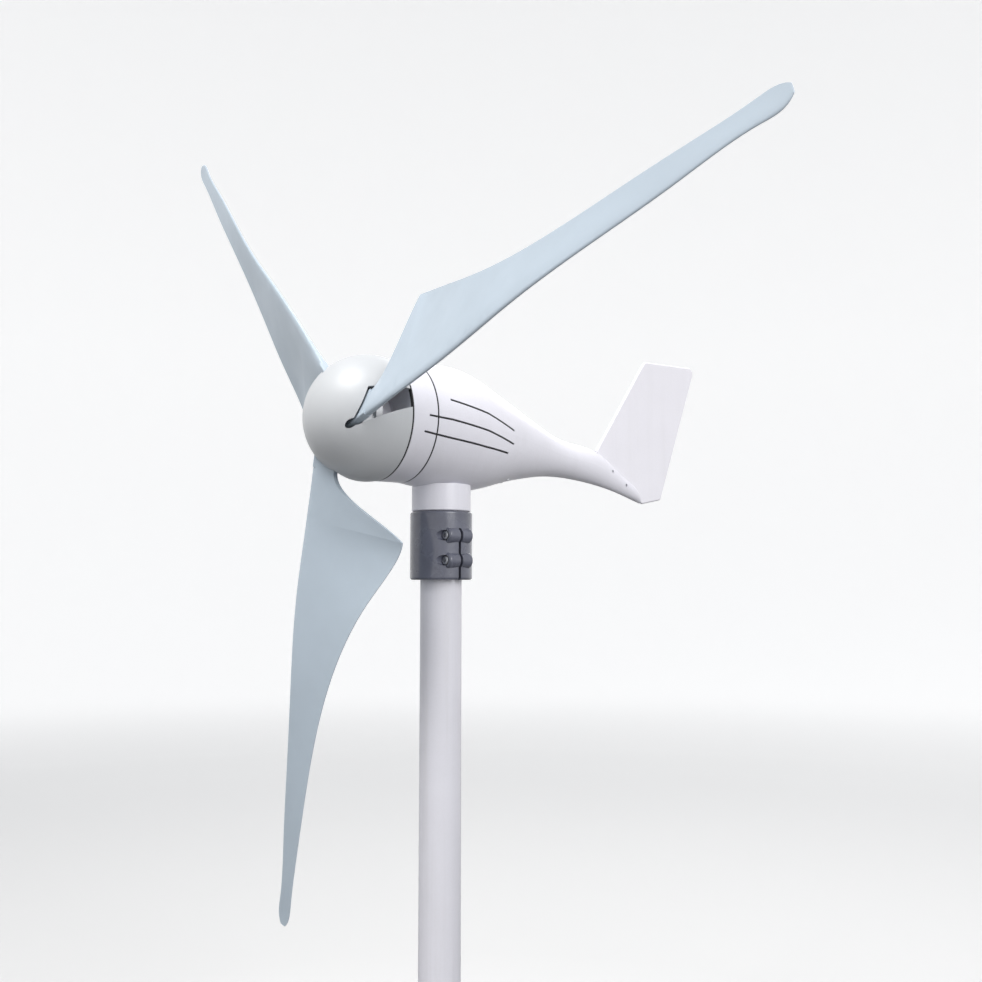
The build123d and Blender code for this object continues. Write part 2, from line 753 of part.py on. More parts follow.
def magnet_core():
    """Steel drum keyed to the shaft, with lightening holes."""
    core = Circle(core_radius) - Circle(shaft_middle_radius)
    for place in PolarLocations(core_hole_circle, core_hole_count):
        core -= place * Circle(core_hole_radius)
    core = shaft_line.location * Pos(0, 0, stator_front) * extrude(core, stack_length)
    return core - core_key_form()


def magnets():
    """Arched magnets round the drum."""
    span = 360 / magnet_count - magnet_space
    ring = Circle(magnet_radius) - Circle(core_radius)
    half = radians(span / 2)
    reach = 2 * magnet_radius
    wedge = Polygon((0, 0), (reach, -reach * tan(half)), (reach, reach * tan(half)), align=None)
    magnet = extrude(ring & wedge, stack_length)
    place = shaft_line.location * Pos(0, 0, stator_front)
    return together(place * Rot(0, 0, 360 * k / magnet_count) * magnet for k in range(magnet_count))


# ---------------------------------------------------------------- shaft
def key_form(sizes, seat_radius, middle):
    """Key above the shaft axis, half sunk in the shaft."""
    width, height, length = sizes
    level = hub_height + seat_radius
    return slab(
        -width / 2, width / 2, middle - length / 2, middle + length / 2,
        level - height / 2, level + height / 2,
    )


def hub_key_form():
    return key_form(hub_key, shaft_radius, (hub_seat_front + front_bearing_front) / 2)


def core_key_form():
    return key_form(core_key, shaft_middle_radius, (stator_front + stator_back) / 2)


def rotor_shaft():
    shaft = shaft_ring(shaft_thread_radius, 0, shaft_nose, hub_seat_front)
    shaft += shaft_ring(shaft_radius, 0, hub_seat_front, front_bearing_back)
    shaft += shaft_ring(shaft_middle_radius, 0, front_bearing_back, rear_bearing_front)
    shaft += shaft_ring(shaft_radius, 0, rear_bearing_front, shaft_end)
    shaft = chamfer(shaft.edges().sort_by(Axis.Y)[0], shaft_nose_edge)
    return shaft - hub_key_form() - core_key_form()


def shaft_seal():
    front = front_bearing_front - seal_lip
    return shaft_ring(seal_radius, hub_boss_radius + running_gap, front, front_bearing_front - seal_clear)


def bearing_circlip():
    """Ring behind the front bearing's outer race."""
    back = front_bearing_back + shaft_clip_width
    ring = shaft_ring(front_bearing[1], front_bearing[1] - shaft_clip_depth, front_bearing_back, back)
    return ring - slab(-clip_mouth, clip_mouth, front_bearing_back, back, 0, hub_height)


# ---------------------------------------------------------------- brushes
brush_gap = 0.1
brush_size = (4.0, 5.0, 9.0)  # height, width, length
holder_front = slip_ring_radius + 3.0
holder_back = 44.0
holder_half_width = 8.0
holder_foot = 4.0
brush_foot_middle = 24.0
brush_foot_half = 3.6
brush_foot_reach = 16.0
brush_screw_sides = (-12.0, 12.0)
brush_screw_radius = 1.3
brush_screw_grip = 7.0
brush_screw_head = (2.75, 3.0)  # radius, height
brush_back_wall = 3.0
spring_radius = 1.6
spring_wire = 0.35
spring_turns = 6


def brush_levels():
    return [low + slip_ring_width / 2 for low in slip_ring_bottoms()]


def brush_holder():
    """Insulating block on the bearing boss, with one channel for each brush."""
    block = slab(
        -holder_half_width, holder_half_width, holder_front, holder_back, boss_top, sleeve_top
    )
    foot = slab(
        -brush_foot_reach, brush_foot_reach, brush_foot_middle - brush_foot_half, brush_foot_middle + brush_foot_half,
        boss_top, boss_top + holder_foot,
    )
    block += foot
    height, width, _ = brush_size
    for level in brush_levels():
        block -= slab(
            -width / 2 - slip_gap, width / 2 + slip_gap, holder_front, holder_back - brush_back_wall,
            level - height / 2 - slip_gap, level + height / 2 + slip_gap,
        )
    for x in brush_screw_sides:
        hole = extrude(Circle(brush_screw_radius + slip_gap), holder_foot)
        block -= Pos(x, brush_foot_middle, boss_top) * hole
    return block


def brushes():
    """Carbon blocks with faces hollowed to the slip rings."""
    height, width, length = brush_size
    pieces = []
    for level in brush_levels():
        start = slip_ring_radius - 1
        block = slab(
            -width / 2, width / 2, start, slip_ring_radius + length, level - height / 2, level + height / 2
        )
        clear = mast_ring(slip_ring_radius + brush_gap, 0, level - height, level + height)
        pieces.append(block - clear)
    return together(pieces)


def brush_springs():
    """Coil springs between the brushes and the backs of their channels."""
    front = slip_ring_radius + brush_size[2] + spring_wire
    back = holder_back - brush_back_wall - spring_wire
    pitch = (back - front) / spring_turns
    pieces = []
    for level in brush_levels():
        coil = Helix(pitch, back - front, spring_radius)
        start = Plane(origin=coil @ 0, z_dir=coil % 0)
        wire = sweep(start * Circle(spring_wire), path=coil, is_frenet=True)
        pieces.append(Pos(0, front, level) * Rot(-90, 0, 0) * wire)
    return together(pieces)


def brush_holder_screws():
    length = holder_foot + brush_screw_grip - 1
    screw = socket_screw(brush_screw_radius, length, *brush_screw_head, brush_screw_radius)
    return together(
        Pos(x, brush_foot_middle, boss_top + holder_foot) * screw for x in brush_screw_sides
    )


# ---------------------------------------------------------------- phase leads
lead_radius = 1.3
lead_circle = 43.5  # through the middle of the coils
lead_coils = (-50.0, -30.0, -10.0)  # degrees from +X, at the middle of a coil
lead_bend = 8.0
lead_turn = 12.0  # behind the mast axis, where a lead leaves its straight run
lead_side = 28.0
lead_end = 34.0
lead_hole_room = 1.0


def lead_places():
    """Side and height of each lead where it leaves its coil."""
    return [
        (lead_circle * cos(radians(turn)), hub_height + lead_circle * sin(radians(turn)))
        for turn in lead_coils
    ]


def lead_route(side, level, end_level):
    """From the rear of a coil through the bulkhead to the side of the brush holder."""
    coil_back = stator_back + coil_overhang
    return (
        (side, coil_back, level),
        (side, lead_turn, level),
        (lead_side, lead_end, end_level),
        (holder_half_width, lead_end, end_level),
    )


def phase_leads():
    leads = []
    for (side, level), end_level in zip(lead_places(), brush_levels()):
        route = FilletPolyline(*lead_route(side, level, end_level), radius=lead_bend)
        start = Plane(origin=route @ 0, z_dir=route % 0)
        leads.append(sweep(start * Circle(lead_radius), path=route))
    return together(leads)


def lead_holes():
    """Round holes in the bulkhead, one for each lead."""
    hole = Rot(-90, 0, 0) * extrude(Circle(lead_radius + lead_hole_room), bulkhead)
    return [Pos(side, bulkhead_front, level) * hole for side, level in lead_places()]


# ---------------------------------------------------------------- hub and blades
def root_block(inner, outer, half_width, low, high):
    """Block in a blade root's frame."""
    return root_frame() * slab(inner, outer, -half_width, half_width, low, high)


def root_bolt_places():
    front = root_thickness / 2 + clamp_plate
    return [root_frame() * Pos(radius, side, front) for radius, side in root_bolts]


def hub_plate():
    """Disc with a keyed boss and three pitched pads for the blades."""
    hub = shaft_ring(hub_disc_radius, 0, hub_disc_front, hub_disc_back)
    hub += shaft_ring(hub_boss_radius + hub_nose_wall, 0, hub_seat_front, hub_disc_front)
    hub += shaft_ring(hub_boss_radius, 0, hub_disc_back, front_bearing_front)
    ahead = slab(-far, far, -far, hub_disc_front + 1, 0, 2 * hub_height)
    for angle in blade_angles:
        pad = root_block(root_inner + 2, pad_outer, pad_half_chord, -4 * root_thickness, -root_thickness / 2)
        hub += (blade_frame(angle) * pad) & ahead
    hub -= shaft_ring(shaft_radius, 0, hub_seat_front, front_bearing_front)
    hub -= hub_key_form()
    for angle in blade_angles:
        for place in root_bolt_places():
            hub -= blade_frame(angle) * place * Pos(0, 0, -root_bolt_length) * root_bolt_shank()
        hub -= blade_frame(angle) * spinner_screw_hole(hub_disc)
    return hub


def root_bolt_shank():
    return extrude(Circle(root_bolt_radius), root_bolt_length)


def blade_bolts():
    screw = socket_screw(root_bolt_radius, root_bolt_length, root_bolt_head, root_bolt_head_height, root_bolt_socket)
    return together(
        blade_frame(angle) * place * screw for angle in blade_angles for place in root_bolt_places()
    )


def blade_clamp_plates():
    """One steel plate over each blade's root."""
    half = clamp_plate_width / 2
    low, high = root_thickness / 2, root_thickness / 2 + clamp_plate
    plate = root_block(root_inner, clamp_plate_outer, half, low, high)
    for place in root_bolt_places():
        plate -= place * Pos(0, 0, -clamp_plate) * extrude(Circle(root_bolt_radius), clamp_plate)
    return together(blade_frame(angle) * plate for angle in blade_angles)


def blade_section(radius, lead, trail, lead_back, trail_back, thickness, edge):
    """Cambered wing section across the blade, blunt at its trailing edge."""
    span = Vector(0, trail - lead, lead_back - trail_back)
    chord = span.length
    along = span.normalized()
    lift = Vector(0, along.Z, -along.Y)  # towards the downwind, rounded side
    nose = Vector(radius, lead, -lead_back)

    def point(share, side):
        camber = 4 * blade_camber * chord * share * (1 - share)
        form = 0.2969 * sqrt(share) - 0.126 * share - 0.3516 * share**2
        form += 0.2843 * share**3 - 0.1036 * share**4
        half = 5 * thickness * form + edge / 2 * share
        return nose + along * (share * chord) + lift * (camber + side * half)

    shares = [(k / section_steps) ** 2 for k in range(section_steps + 1)]
    rounded = [point(share, 1) for share in reversed(shares)]
    flatter = [point(share, -1) for share in shares[1:]]
    skin = Spline(*rounded, *flatter)
    return Wire([skin, Line(skin @ 1, skin @ 0)])


def blade_form():
    """Blade in its own frame: root block, flare to the shoulder, tapered outer part."""
    reach = rotor_radius - shoulder_radius
    outer_rows = [(shoulder_radius + row[0] * reach, *row[1:]) for row in outer_stations]
    flare = Solid.make_loft([blade_section(*row) for row in root_stations])
    wing = Solid.make_loft([blade_section(*row) for row in outer_rows])
    half = pad_half_chord - root_pad_margin
    root = root_block(root_inner, root_outer, half, -root_thickness / 2, root_thickness / 2)
    root = fillet(root.edges().filter_by(Axis.X), root_edge)
    blade = flare + wing + root
    for place in root_bolt_places():
        blade -= place * Pos(0, 0, -root_bolt_length) * root_bolt_shank()
    return blade


def hub_tightener():
    """Washer and nut on the shaft's nose."""
    washer = shaft_ring(hub_washer_radius, shaft_thread_radius, hub_seat_front - hub_washer, hub_seat_front)
    nut = hex_nut(shaft_thread_radius, hub_nut_flats, hub_nut_height)
    front = hub_seat_front - hub_washer - hub_nut_height
    return washer, shaft_line.location * Pos(0, 0, front) * nut


# ---------------------------------------------------------------- spinner
def spinner_boss_place():
    """In the blade's frame, on the hub disc's front face."""
    turn = radians(spinner_boss_angle)
    side = (spinner_boss_circle * cos(turn), spinner_boss_circle * sin(turn))
    return Pos(*side, rotor_plane - hub_disc_front)


def spinner_screw_hole(depth):
    hole = extrude(Circle(spinner_screw_radius + slip_gap), depth)
    return spinner_boss_place() * Pos(0, 0, -depth) * hole


def spinner_slot():
    """Opening for a blade's root, open at the rim, in the blade's frame."""
    room = spinner_slot_room
    front = root_axis_rise + root_thickness
    trail = root_lead + root_width + room
    drop = (trail - root_lead + room) * tan(radians(root_pitch))
    rim = rotor_plane - spinner_rim - 1
    outline = Polygon(
        (root_lead - room, front),
        (root_lead - room, front - 8),
        (root_lead + 14, rim),
        (trail, rim),
        (trail, front - drop),
        align=None,
    )
    outline += Pos(root_lead - 1, front - 2) * Circle(room + 0.5)
    across = Plane(origin=(root_inner, 0, 0), x_dir=(0, 1, 0), z_dir=(1, 0, 0)).location
    return across * extrude(outline, spinner_radius)


def spinner():
    """Domed nose cap with three root slots and three screw bosses."""
    centre = Pos(0, spinner_centre, hub_height)
    keep = slab(-far, far, -far, spinner_rim, 0, 2 * hub_height)
    ball = centre * Sphere(spinner_radius)
    dome = ball - centre * Sphere(spinner_radius - spinner_wall)
    for angle in blade_angles:
        post = spinner_boss_place() * extrude(Circle(spinner_boss_radius), spinner_radius)
        dome += (blade_frame(angle) * post) & ball
    dome &= keep
    for angle in blade_angles:
        dome -= blade_frame(angle) * spinner_slot()
        pilot = extrude(Circle(spinner_screw_radius), spinner_boss_depth)
        dome -= blade_frame(angle) * spinner_boss_place() * pilot
    return dome


def spinner_screws():
    """Screws from behind the hub disc into the spinner's bosses."""
    length = hub_disc + spinner_boss_depth - 2
    screw = Rot(180, 0, 0) * socket_screw(
        spinner_screw_radius, length, small_head_radius, spinner_head_height, small_socket
    )
    seat = spinner_boss_place() * Pos(0, 0, -hub_disc)
    return together(blade_frame(angle) * seat * screw for angle in blade_angles)


# ---------------------------------------------------------------- write every node
def write(name, shape):
    export_step(shape, f"parts/{name}.step")


def main():
    os.makedirs("parts", exist_ok=True)
    write("mast_tube", mast_tube())
    write("clamp_collar", clamp_collar())
    write("clamp_bolts", clamp_bolts())
    write("clamp_nuts", clamp_nuts())
    write("dust_seal", dust_seal())
    write("yaw_spindle", yaw_spindle())
    write("spindle_screws", spindle_screws())
    write("seat_sleeve", seat_sleeve())
    write("bearing_spacer", bearing_spacer())
    write("yaw_tab_washer", yaw_tab_washer())
    write("yaw_nut", yaw_nut())
    write("slip_ring_sleeve", slip_ring_sleeve())
    write("slip_rings", slip_rings())

    pieces = ("inner_races", "outer_races", "balls", "cages")
    levels = (lower_yaw_bearing, upper_yaw_bearing)
    names = [f"yaw_bearing_{piece}" for piece in pieces]
    bearing_nodes(names, yaw_bearing, [Pos(0, 0, level) for level in levels])
    pieces = ("inner_race", "outer_race", "balls", "cage")
    rows = (("front", front_bearing, front_bearing_front), ("rear", rear_bearing, rear_bearing_front))
    for end, sizes, front in rows:
        names = [f"{end}_bearing_{piece}" for piece in pieces]
        bearing_nodes(names, sizes, [shaft_line.location * Pos(0, 0, front)])

    write("nacelle_housing", nacelle_housing())
    write("front_cover", front_cover())
    write("cover_gasket", cover_gasket())
    write("cover_screws", cover_screws())
    write("yaw_circlip", yaw_circlip())
    write("tail_boom", tail_boom())
    write("boom_screws", boom_screws())
    write("tail_fin", tail_fin())
    write("fin_rivets", fin_rivets())
    write("stator_core", stator_core())
    write("stator_windings", stator_windings())
    write("shaft_seal", shaft_seal())
    write("bearing_circlip", bearing_circlip())
    write("brush_holder", brush_holder())
    write("brushes", brushes())
    write("brush_springs", brush_springs())
    write("brush_holder_screws", brush_holder_screws())
    write("phase_leads", phase_leads())

    write("rotor_shaft", rotor_shaft())
    write("hub_key", hub_key_form())
    write("core_key", core_key_form())
    write("magnet_core", magnet_core())
    write("magnets", magnets())
    write("hub_plate", hub_plate())
    washer, nut = hub_tightener()
    write("hub_washer", washer)
    write("hub_nut", nut)
    blade = blade_form()
    for k, angle in enumerate(blade_angles):
        write(f"blade_{k + 1}", blade_frame(angle) * blade)
    write("blade_clamp_plates", blade_clamp_plates())
    write("blade_bolts", blade_bolts())
    write("spinner", spinner())
    write("spinner_screws", spinner_screws())


main()
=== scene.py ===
import json
import math

import bmesh
import bpy
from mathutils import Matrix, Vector
from mathutils.bvhtree import BVHTree


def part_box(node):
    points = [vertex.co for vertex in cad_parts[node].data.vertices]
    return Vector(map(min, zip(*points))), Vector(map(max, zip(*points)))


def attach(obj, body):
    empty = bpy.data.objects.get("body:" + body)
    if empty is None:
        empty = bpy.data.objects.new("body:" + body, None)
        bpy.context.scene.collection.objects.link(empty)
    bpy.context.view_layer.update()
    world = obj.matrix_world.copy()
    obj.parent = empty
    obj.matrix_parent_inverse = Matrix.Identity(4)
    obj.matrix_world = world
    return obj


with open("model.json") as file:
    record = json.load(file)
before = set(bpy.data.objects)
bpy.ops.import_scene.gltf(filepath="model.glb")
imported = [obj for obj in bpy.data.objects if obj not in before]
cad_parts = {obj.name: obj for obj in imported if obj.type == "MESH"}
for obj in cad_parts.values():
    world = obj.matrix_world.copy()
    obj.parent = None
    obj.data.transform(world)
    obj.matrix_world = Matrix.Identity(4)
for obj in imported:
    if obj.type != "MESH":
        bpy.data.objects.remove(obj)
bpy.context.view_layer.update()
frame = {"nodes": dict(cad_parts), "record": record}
nodes = frame["nodes"]
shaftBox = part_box("rotor_shaft")
hub = (shaftBox[0] + shaftBox[1]) / 2
print("frame loaded", len(nodes), "nodes")


def newGroup(name, inputs, outputs):
    group = bpy.data.node_groups.new(name, "ShaderNodeTree")
    for label, kind, value in inputs:
        socket = group.interface.new_socket(label, in_out="INPUT", socket_type=kind)
        if value is not None:
            socket.default_value = value
    for label, kind in outputs:
        group.interface.new_socket(label, in_out="OUTPUT", socket_type=kind)
    entry = group.nodes.new("NodeGroupInput")
    leave = group.nodes.new("NodeGroupOutput")
    return group, entry, leave


def give(tree, socket, value):  # a number or colour is set, an output is linked
    if isinstance(value, (int, float, tuple)):
        socket.default_value = value
    else:
        tree.links.new(value, socket)


def addMath(tree, operation, first, second):
    node = tree.nodes.new("ShaderNodeMath")
    node.operation = operation
    for socket, value in zip(node.inputs, (first, second)):
        give(tree, socket, value)
    return node.outputs["Value"]


def addRange(tree, value, low, high, toLow=0.0, toHigh=1.0):
    node = tree.nodes.new("ShaderNodeMapRange")
    node.clamp = True
    tree.links.new(value, node.inputs["Value"])
    for label, number in (("From Min", low), ("From Max", high), ("To Min", toLow), ("To Max", toHigh)):
        node.inputs[label].default_value = number
    return node.outputs["Result"]


def addNoise(tree, vector, scale, detail=3.0, roughness=0.5):
    node = tree.nodes.new("ShaderNodeTexNoise")
    node.inputs["Detail"].default_value = detail
    node.inputs["Roughness"].default_value = roughness
    tree.links.new(vector, node.inputs["Vector"])
    give(tree, node.inputs["Scale"], scale)
    return node.outputs["Fac"]


# a mix node has other sockets when it mixes colours
colourSockets = {"factor": 0, "first": 6, "second": 7, "result": 2}


def addMix(tree, factor, first, second):
    node = tree.nodes.new("ShaderNodeMix")
    node.data_type = "RGBA"
    give(tree, node.inputs[colourSockets["factor"]], factor)
    give(tree, node.inputs[colourSockets["first"]], first)
    give(tree, node.inputs[colourSockets["second"]], second)
    return node.outputs[colourSockets["result"]]


def stretched(tree, vector, scale):
    node = tree.nodes.new("ShaderNodeMapping")
    node.inputs["Scale"].default_value = scale
    tree.links.new(vector, node.inputs["Vector"])
    return node.outputs["Vector"]


def buildCloudGroup():  # large soft patches plus fine speckle, for colour and gloss
    group, entry, leave = newGroup(
        "paintClouds",
        [("Vector", "NodeSocketVector", None), ("Scale", "NodeSocketFloat", 9.0)],
        [("Clouds", "NodeSocketFloat"), ("Speckle", "NodeSocketFloat")],
    )
    clouds = addNoise(group, entry.outputs["Vector"], entry.outputs["Scale"], detail=4.0, roughness=0.55)
    fine = addMath(group, "MULTIPLY", entry.outputs["Scale"], 60.0)
    speckle = addNoise(group, entry.outputs["Vector"], fine, detail=2.0)
    group.links.new(addRange(group, clouds, 0.35, 0.65), leave.inputs["Clouds"])
    group.links.new(addRange(group, speckle, 0.45, 0.75), leave.inputs["Speckle"])
    return group


def buildPeelGroup():  # the fine waviness of sprayed paint or moulded plastic
    group, entry, leave = newGroup(
        "paintPeel",
        [("Vector", "NodeSocketVector", None), ("Peel", "NodeSocketFloat", 420.0),
         ("Grain", "NodeSocketFloat", 2400.0), ("Grain Share", "NodeSocketFloat", 0.3)],
        [("Height", "NodeSocketFloat")],
    )
    peel = addNoise(group, entry.outputs["Vector"], entry.outputs["Peel"], detail=1.0)
    grain = addNoise(group, entry.outputs["Vector"], entry.outputs["Grain"], detail=2.0)
    height = addMath(group, "ADD", peel, addMath(group, "MULTIPLY", grain, entry.outputs["Grain Share"]))
    group.links.new(height, leave.inputs["Height"])
    return group


def buildEdgeGroup():  # where a piece has a sharp edge, broken up by noise
    group, entry, leave = newGroup(
        "edgeWear",
        [("Vector", "NodeSocketVector", None), ("Radius", "NodeSocketFloat", 0.0008),
         ("Breaks", "NodeSocketFloat", 240.0)],
        [("Wear", "NodeSocketFloat")],
    )
    rounded = group.nodes.new("ShaderNodeBevel")
    rounded.samples = 4
    group.links.new(entry.outputs["Radius"], rounded.inputs["Radius"])
    shape = group.nodes.new("ShaderNodeNewGeometry")
    turn = group.nodes.new("ShaderNodeVectorMath")
    turn.operation = "DOT_PRODUCT"
    group.links.new(rounded.outputs["Normal"], turn.inputs[0])
    group.links.new(shape.outputs["Normal"], turn.inputs[1])
    edge = addRange(group, turn.outputs["Value"], 0.995, 0.90)
    noise = addNoise(group, entry.outputs["Vector"], entry.outputs["Breaks"], detail=4.0, roughness=0.6)
    breaks = addRange(group, noise, 0.42, 0.62)
    group.links.new(addMath(group, "MULTIPLY", edge, breaks), leave.inputs["Wear"])
    return group


def buildStreakGroup():  # faint rain streaks that run down the piece
    group, entry, leave = newGroup(
        "rainStreaks",
        [("Vector", "NodeSocketVector", None), ("Scale", "NodeSocketFloat", 1.0)],
        [("Streaks", "NodeSocketFloat")],
    )
    vector = stretched(group, entry.outputs["Vector"], (70.0, 70.0, 2.5))
    streaks = addNoise(group, vector, entry.outputs["Scale"], detail=3.0, roughness=0.6)
    group.links.new(addRange(group, streaks, 0.5, 0.72), leave.inputs["Streaks"])
    return group


effects = {
    "clouds": buildCloudGroup(),
    "peel": buildPeelGroup(),
    "edge": buildEdgeGroup(),
    "streaks": buildStreakGroup(),
}


class Finish:  # one material, its coordinates and the effects placed in it
    def __init__(self, name, roughness, metallic=0.0, coat=0.0, coatRoughness=0.1):
        self.material = bpy.data.materials.new(name)
        self.material.use_nodes = True
        self.tree = self.material.node_tree
        self.shader = self.tree.nodes["Principled BSDF"]
        self.shader.inputs["Roughness"].default_value = roughness
        self.shader.inputs["Metallic"].default_value = metallic
        self.shader.inputs["Coat Weight"].default_value = coat
        self.shader.inputs["Coat Roughness"].default_value = coatRoughness
        self.place = self.tree.nodes.new("ShaderNodeTexCoord").outputs["Object"]

    def effect(self, name, **values):
        node = self.tree.nodes.new("ShaderNodeGroup")
        node.node_tree = effects[name]
        self.tree.links.new(self.place, node.inputs["Vector"])
        for label, value in values.items():
            node.inputs[label].default_value = value
        return node

    def feed(self, label, value):
        self.tree.links.new(value, self.shader.inputs[label])

    def bump(self, height, distance):
        node = self.tree.nodes.new("ShaderNodeBump")
        node.inputs["Distance"].default_value = distance
        self.tree.links.new(height, node.inputs["Height"])
        self.feed("Normal", node.outputs["Normal"])


neutral = (1.0, 1.0, 1.0)


def shade(colour, factor):
    return tuple(part * factor for part in colour) + (1.0,)


def paintFinish(name, colour, look):
    finish = Finish(name, look["roughness"], coat=look["coat"], coatRoughness=look["coatRoughness"])
    clouds = finish.effect("clouds", Scale=look["cloudScale"])
    base = addMix(finish.tree, clouds.outputs["Clouds"], shade(colour, look["darkest"]), shade(colour, 1.0))
    speckle = addMath(finish.tree, "MULTIPLY", clouds.outputs["Speckle"], look["speckle"])
    base = addMix(finish.tree, speckle, base, shade(look["dust"], 1.0))
    streaks = addMath(finish.tree, "MULTIPLY", finish.effect("streaks").outputs["Streaks"], look["streaks"])
    base = addMix(finish.tree, streaks, base, shade(look["dust"], 0.8))
    wear = finish.effect("edge", Radius=look["edgeRadius"]).outputs["Wear"]
    wear = addMath(finish.tree, "MULTIPLY", wear, look["wear"])
    base = addMix(finish.tree, wear, base, shade(look["bare"], 1.0))
    finish.feed("Base Color", base)
    dull = look["roughness"] + look["glossSpread"]
    gloss = addRange(finish.tree, clouds.outputs["Clouds"], 0.0, 1.0, dull, look["roughness"])
    finish.feed("Roughness", gloss)
    peel = finish.effect("peel", Peel=look["peel"], Grain=look["grain"])
    finish.bump(peel.outputs["Height"], look["bump"])
    return finish.material


paintLook = {
    "roughness": 0.32, "coat": 0.25, "coatRoughness": 0.16, "glossSpread": 0.10,
    "cloudScale": 9.0, "darkest": 0.955, "speckle": 0.06, "dust": (0.52, 0.50, 0.47), "streaks": 0.05,
    "edgeRadius": 0.0009, "wear": 0.22, "bare": (0.60, 0.61, 0.64),
    "peel": 420.0, "grain": 2400.0, "bump": 0.00006,
}


metalLook = {"cloudScale": 34.0, "darkest": 0.86, "alongRing": 3.0, "bump": 0.00002}


def metalFinish(name, colour, roughness, ringAxis=None, spread=0.12, lines=900.0):
    # ringAxis 0, 1 or 2 gives turning marks about that axis, none gives an even grain
    look = metalLook
    finish = Finish(name, roughness, metallic=1.0)
    clouds = finish.effect("clouds", Scale=look["cloudScale"]).outputs["Clouds"]
    finish.feed("Base Color", addMix(finish.tree, clouds, shade(colour, look["darkest"]), shade(colour, 1.0)))
    vector, fineness = finish.place, lines
    if ringAxis is not None:
        scale = [look["alongRing"]] * 3
        scale[ringAxis] = lines
        vector, fineness = stretched(finish.tree, finish.place, scale), 1.0
    marks = addNoise(finish.tree, vector, fineness, detail=3.0, roughness=0.6)
    finish.feed("Roughness", addRange(finish.tree, marks, 0.3, 0.7, roughness, roughness + spread))
    finish.bump(marks, look["bump"])
    return finish.material


darkLook = {
    "cloudScale": 22.0, "darkest": 0.75, "lightest": 1.15, "speckle": 0.10, "dust": (0.30, 0.29, 0.28),
    "peelShare": 0.4, "smoother": 0.06, "rougher": 0.08,
}


def darkFinish(name, colour, roughness, grain=1500.0, bump=0.00005):
    look = darkLook
    finish = Finish(name, roughness)
    clouds = finish.effect("clouds", Scale=look["cloudScale"])
    dark, light = shade(colour, look["darkest"]), shade(colour, look["lightest"])
    base = addMix(finish.tree, clouds.outputs["Clouds"], dark, light)
    speckle = addMath(finish.tree, "MULTIPLY", clouds.outputs["Speckle"], look["speckle"])
    finish.feed("Base Color", addMix(finish.tree, speckle, base, shade(look["dust"], 1.0)))
    peel = finish.effect("peel", Peel=grain * look["peelShare"], Grain=grain).outputs["Height"]
    low, high = roughness - look["smoother"], roughness + look["rougher"]
    finish.feed("Roughness", addRange(finish.tree, peel, 0.4, 0.9, low, high))
    finish.bump(peel, bump)
    return finish.material


def housingPaint():
    return paintFinish("housingPaint", (0.745, 0.738, 0.80), paintLook)


def finPaint():
    # a duller sheet than the body
    look = dict(paintLook, roughness=0.42, coat=0.10, cloudScale=7.0, peel=300.0)
    return paintFinish("finPaint", (0.77, 0.758, 0.81), look)


def spinnerShell():
    look = dict(paintLook, roughness=0.42, coatRoughness=0.30, streaks=0.0, speckle=0.03, bump=0.00003)
    return paintFinish("spinnerShell", (0.53, 0.545, 0.565), look)


def bladeMoulding():
    look = dict(paintLook, roughness=0.38, coat=0.12, coatRoughness=0.25, cloudScale=12.0, streaks=0.0,
                speckle=0.08, darkest=0.94, wear=0.3, bare=(0.80, 0.82, 0.84), peel=700.0, bump=0.00004)
    return paintFinish("bladeMoulding", (0.45, 0.525, 0.60), look)


def mastPaint():
    look = dict(paintLook, roughness=0.40, coat=0.12, cloudScale=6.0, streaks=0.14, darkest=0.93, peel=260.0)
    return paintFinish("mastPaint", (0.69, 0.685, 0.74), look)


def collarPaint():
    look = dict(paintLook, roughness=0.24, coat=0.8, coatRoughness=0.10, cloudScale=20.0, darkest=0.7,
                speckle=0.10, dust=(0.25, 0.25, 0.27), streaks=0.06, wear=0.35, bare=(0.30, 0.31, 0.34),
                edgeRadius=0.0006, peel=800.0, grain=3000.0, bump=0.00010)
    return paintFinish("collarPaint", (0.115, 0.122, 0.165), look)


coilLook = {
    "turns": (900.0, 60.0, 900.0), "bump": 0.0002,
    "gap": (0.30, 0.09, 0.03), "wire": (0.72, 0.30, 0.12),
}


def ringCoil():  # enamelled copper wire, seen as fine turns
    look = coilLook
    finish = Finish("coilWire", 0.35, metallic=0.85, coat=0.4)
    wire = addNoise(finish.tree, stretched(finish.tree, finish.place, look["turns"]), 1.0, detail=2.0)
    finish.feed("Base Color", addMix(finish.tree, wire, shade(look["gap"], 1.0), shade(look["wire"], 1.0)))
    finish.bump(wire, look["bump"])
    return finish.material


stackLook = {
    "sheets": (5.0, 1800.0, 5.0), "bump": 0.00015,
    "gap": (0.10, 0.10, 0.11), "sheet": (0.26, 0.26, 0.28),
}


def laminatedSteel():  # thin sheets stacked along the shaft
    look = stackLook
    finish = Finish("stackedSheets", 0.55, metallic=0.8)
    sheets = addNoise(finish.tree, stretched(finish.tree, finish.place, look["sheets"]), 1.0, detail=1.0)
    finish.feed("Base Color", addMix(finish.tree, sheets, shade(look["gap"], 1.0), shade(look["sheet"], 1.0)))
    finish.bump(sheets, look["bump"])
    return finish.material


